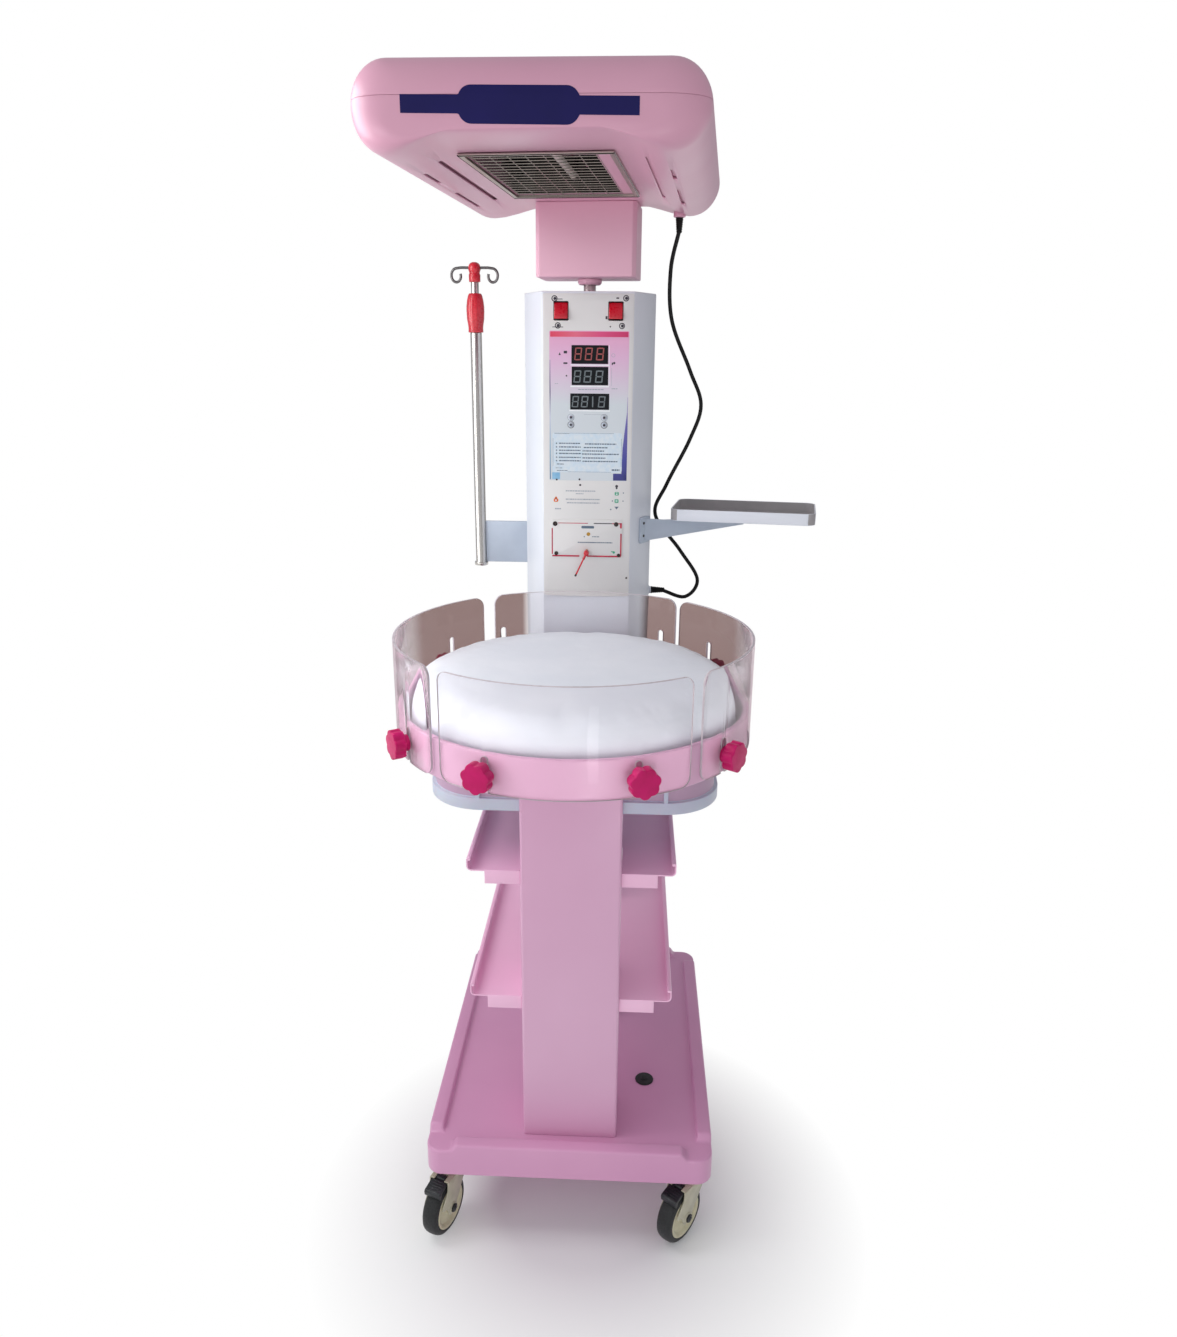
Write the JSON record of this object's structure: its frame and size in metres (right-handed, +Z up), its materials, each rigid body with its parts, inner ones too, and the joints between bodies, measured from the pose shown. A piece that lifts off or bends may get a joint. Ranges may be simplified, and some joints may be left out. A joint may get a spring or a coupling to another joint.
{
  "type": "infant radiant warmer",
  "caption": "Infant radiant warmer: round bed with clear side panels on a wheeled stand, control mast, swivelling overhead heater, hook pole and side tray.",
  "frame": {"origin": "centre of the bounding box on the floor, without the cord", "axes": "+Z up, -Y towards the bed's front where the nurse stands, +X towards the side tray"},
  "size_m": [0.6712, 0.8616, 1.785],
  "materials": {
    "pink_paint": "gloss powder coat",
    "black_rubber": "matte",
    "white_paint": "satin powder coat",
    "white_plastic": "satin moulded",
    "mattress_cloth": "coated cloth",
    "red_plastic": "gloss",
    "steel": "brushed",
    "reflector_metal": "bright",
    "heater_ceramic": "ceramic rod",
    "dark_metal": "heat darkened",
    "cream_metal": "zinc and paint",
    "cream_plastic": "satin",
    "tyre_rubber": "matte",
    "black_plastic": "satin",
    "magenta_plastic": "gloss",
    "clear_acrylic": "clear acrylic",
    "button_grey": "satin"
  },
  "bodies": {
    "stand": {"base_tray": "pink_paint", "base_grommet": "black_rubber", "pedestal": "pink_paint", "rear_post": "white_paint", "shelf_lower": "pink_paint", "shelf_upper": "pink_paint", "bed_tub": "white_plastic", "bed_pan": "pink_paint", "mattress": "mattress_cloth", "mast_housing": "white_paint", "mast_fascia": "white_paint", "sensor_plate": "white_paint", "sensor_jack": "red_plastic", "pole_bracket": "white_paint", "pole_tube": "steel", "tray_arm": "white_paint", "head_cord": "black_rubber"},
    "head": {"head_lower_shell": "pink_paint", "head_upper_shell": "pink_paint", "reflector": "reflector_metal", "heater_tube": "heater_ceramic", "grille": "dark_metal", "neck": "pink_paint", "swivel_pin": "steel"},
    "tray": {"side_tray": "white_paint"},
    "rod": {"pole_rod": "steel", "pole_head": "red_plastic"},
    "grip": {"pole_grip": "red_plastic"},
    "caster_front_left": {"caster_fork_front_left": "cream_metal"},
    "wheel_front_left": {"caster_hub_front_left": "cream_plastic", "caster_tyre_front_left": "tyre_rubber"},
    "caster_front_right": {"caster_fork_front_right": "cream_metal"},
    "wheel_front_right": {"caster_hub_front_right": "cream_plastic", "caster_tyre_front_right": "tyre_rubber"},
    "caster_rear_left": {"caster_fork_rear_left": "cream_metal"},
    "wheel_rear_left": {"caster_hub_rear_left": "cream_plastic", "caster_tyre_rear_left": "tyre_rubber"},
    "caster_rear_right": {"caster_fork_rear_right": "cream_metal"},
    "wheel_rear_right": {"caster_hub_rear_right": "cream_plastic", "caster_tyre_rear_right": "tyre_rubber"},
    "pedal_front_left": {"caster_pedal_front_left": "black_plastic"},
    "pedal_front_right": {"caster_pedal_front_right": "black_plastic"},
    "knob_1": {"knob_1": "magenta_plastic"},
    "knob_2": {"knob_2": "magenta_plastic"},
    "knob_3": {"knob_3": "magenta_plastic"},
    "knob_4": {"knob_4": "magenta_plastic"},
    "knob_5": {"knob_5": "magenta_plastic"},
    "knob_6": {"knob_6": "magenta_plastic"},
    "knob_7": {"knob_7": "magenta_plastic"},
    "knob_8": {"knob_8": "magenta_plastic"},
    "panel_front": {"panel_front": "clear_acrylic"},
    "panel_right": {"panel_right": "clear_acrylic"},
    "panel_rear": {"panel_rear": "clear_acrylic"},
    "panel_left": {"panel_left": "clear_acrylic"},
    "rocker_left": {"rocker_left": "red_plastic"},
    "rocker_right": {"rocker_right": "red_plastic"},
    "button_upper_left": {"button_upper_left": "button_grey"},
    "button_upper_right": {"button_upper_right": "button_grey"},
    "button_lower_left": {"button_lower_left": "button_grey"},
    "button_lower_right": {"button_lower_right": "button_grey"}
  },
  "joints": [
    {"name": "caster_swivel_front_left", "type": "hinge", "parent": "stand", "child": "caster_front_left", "pos_m": [-0.2898, -0.15258, 0.1035], "axis": [0, 0, 1], "continuous": true},
    {"name": "wheel_spin_front_left", "type": "hinge", "parent": "caster_front_left", "child": "wheel_front_left", "pos_m": [-0.30029, -0.17854, 0.05], "axis": [0.9272, -0.3746, 0], "continuous": true},
    {"name": "caster_swivel_front_right", "type": "hinge", "parent": "stand", "child": "caster_front_right", "pos_m": [0.1302, -0.15258, 0.1035], "axis": [0, 0, 1], "continuous": true},
    {"name": "wheel_spin_front_right", "type": "hinge", "parent": "caster_front_right", "child": "wheel_front_right", "pos_m": [0.11296, -0.17465, 0.05], "axis": [0.788, -0.6157, 0], "continuous": true},
    {"name": "caster_swivel_rear_left", "type": "hinge", "parent": "stand", "child": "caster_rear_left", "pos_m": [-0.2898, 0.38882, 0.1035], "axis": [0, 0, 1], "continuous": true},
    {"name": "wheel_spin_rear_left", "type": "hinge", "parent": "caster_rear_left", "child": "wheel_rear_left", "pos_m": [-0.2898, 0.36082, 0.05], "axis": [1, 0, 0], "continuous": true},
    {"name": "caster_swivel_rear_right", "type": "hinge", "parent": "stand", "child": "caster_rear_right", "pos_m": [0.1302, 0.38882, 0.1035], "axis": [0, 0, 1], "continuous": true},
    {"name": "wheel_spin_rear_right", "type": "hinge", "parent": "caster_rear_right", "child": "wheel_rear_right", "pos_m": [0.1302, 0.36082, 0.05], "axis": [1, 0, 0], "continuous": true},
    {"name": "brake_pedal_front_left", "type": "hinge", "parent": "caster_front_left", "child": "pedal_front_left", "pos_m": [-0.30104, -0.1804, 0.1068], "axis": [0.9272, -0.3746, 0], "range_deg": [0, 9], "stiffness_Nm_per_rad": 0.12, "springref_deg": -2.86},
    {"name": "brake_pedal_front_right", "type": "hinge", "parent": "caster_front_right", "child": "pedal_front_right", "pos_m": [0.11173, -0.17622, 0.1068], "axis": [0.788, -0.6157, 0], "range_deg": [0, 9], "stiffness_Nm_per_rad": 0.12, "springref_deg": -2.86},
    {"name": "knob_turn_1", "type": "hinge", "parent": "stand", "child": "knob_1", "pos_m": [-0.17315, -0.39542, 0.969], "axis": [-0.3827, -0.9239, 0], "continuous": true},
    {"name": "knob_turn_2", "type": "hinge", "parent": "stand", "child": "knob_2", "pos_m": [0.02022, -0.39677, 0.969], "axis": [0.3697, -0.9291, 0], "continuous": true},
    {"name": "knob_turn_3", "type": "hinge", "parent": "stand", "child": "knob_3", "pos_m": [0.13179, -0.31085, 0.969], "axis": [0.8039, -0.5948, 0], "continuous": true},
    {"name": "knob_turn_4", "type": "hinge", "parent": "stand", "child": "knob_4", "pos_m": [0.13312, -0.00692, 0.985], "axis": [0.809, 0.5878, 0], "continuous": true},
    {"name": "knob_turn_5", "type": "hinge", "parent": "stand", "child": "knob_5", "pos_m": [0.05756, 0.06231, 0.985], "axis": [0.515, 0.8572, 0], "continuous": true},
    {"name": "knob_turn_6", "type": "hinge", "parent": "stand", "child": "knob_6", "pos_m": [-0.20717, 0.06231, 0.985], "axis": [-0.515, 0.8572, 0], "continuous": true},
    {"name": "knob_turn_7", "type": "hinge", "parent": "stand", "child": "knob_7", "pos_m": [-0.28272, -0.00692, 0.985], "axis": [-0.809, 0.5878, 0], "continuous": true},
    {"name": "knob_turn_8", "type": "hinge", "parent": "stand", "child": "knob_8", "pos_m": [-0.29034, -0.29795, 0.969], "axis": [-0.8387, -0.5446, 0], "continuous": true},
    {"name": "panel_lift_front", "type": "slide", "parent": "stand", "child": "panel_front", "axis": [0, 0, 1], "range_m": [-0.009, 0.11]},
    {"name": "panel_lift_right", "type": "slide", "parent": "stand", "child": "panel_right", "axis": [0, 0, 1], "range_m": [-0.009, 0.11]},
    {"name": "panel_lift_rear", "type": "slide", "parent": "stand", "child": "panel_rear", "axis": [0, 0, 1], "range_m": [-0.009, 0.11]},
    {"name": "panel_lift_left", "type": "slide", "parent": "stand", "child": "panel_left", "axis": [0, 0, 1], "range_m": [-0.009, 0.11]},
    {"name": "rocker_press_left", "type": "hinge", "parent": "stand", "child": "rocker_left", "pos_m": [-0.1148, 0.13472, 1.545], "axis": [1, 0, 0], "range_deg": [0, 12]},
    {"name": "rocker_press_right", "type": "hinge", "parent": "stand", "child": "rocker_right", "pos_m": [-0.0268, 0.13472, 1.545], "axis": [1, 0, 0], "range_deg": [0, 12]},
    {"name": "button_press_upper_left", "type": "slide", "parent": "stand", "child": "button_upper_left", "axis": [0, 1, 0], "range_m": [0, 0.0013], "stiffness_N_per_m": 400, "springref_m": -0.001},
    {"name": "button_press_upper_right", "type": "slide", "parent": "stand", "child": "button_upper_right", "axis": [0, 1, 0], "range_m": [0, 0.0013], "stiffness_N_per_m": 400, "springref_m": -0.001},
    {"name": "button_press_lower_left", "type": "slide", "parent": "stand", "child": "button_lower_left", "axis": [0, 1, 0], "range_m": [0, 0.0013], "stiffness_N_per_m": 400, "springref_m": -0.001},
    {"name": "button_press_lower_right", "type": "slide", "parent": "stand", "child": "button_lower_right", "axis": [0, 1, 0], "range_m": [0, 0.0013], "stiffness_N_per_m": 400, "springref_m": -0.001},
    {"name": "head_swivel", "type": "hinge", "parent": "stand", "child": "head", "pos_m": [-0.0708, 0.17702, 1.575], "axis": [0, 0, 1], "range_deg": [-90, 90], "deforming": ["head_cord"]},
    {"name": "side_tray_swivel", "type": "hinge", "parent": "stand", "child": "tray", "pos_m": [0.2042, 0.21902, 1.2055], "axis": [0, 0, 1], "range_deg": [-90, 90]},
    {"name": "pole_rod_slide", "type": "slide", "parent": "stand", "child": "rod", "axis": [0, 0, 1], "range_m": [0, 0.35]},
    {"name": "grip_twist", "type": "hinge", "parent": "stand", "child": "grip", "pos_m": [-0.2728, 0.26202, 1.514], "axis": [0, 0, 1], "range_deg": [-60, 60]}
  ]
}
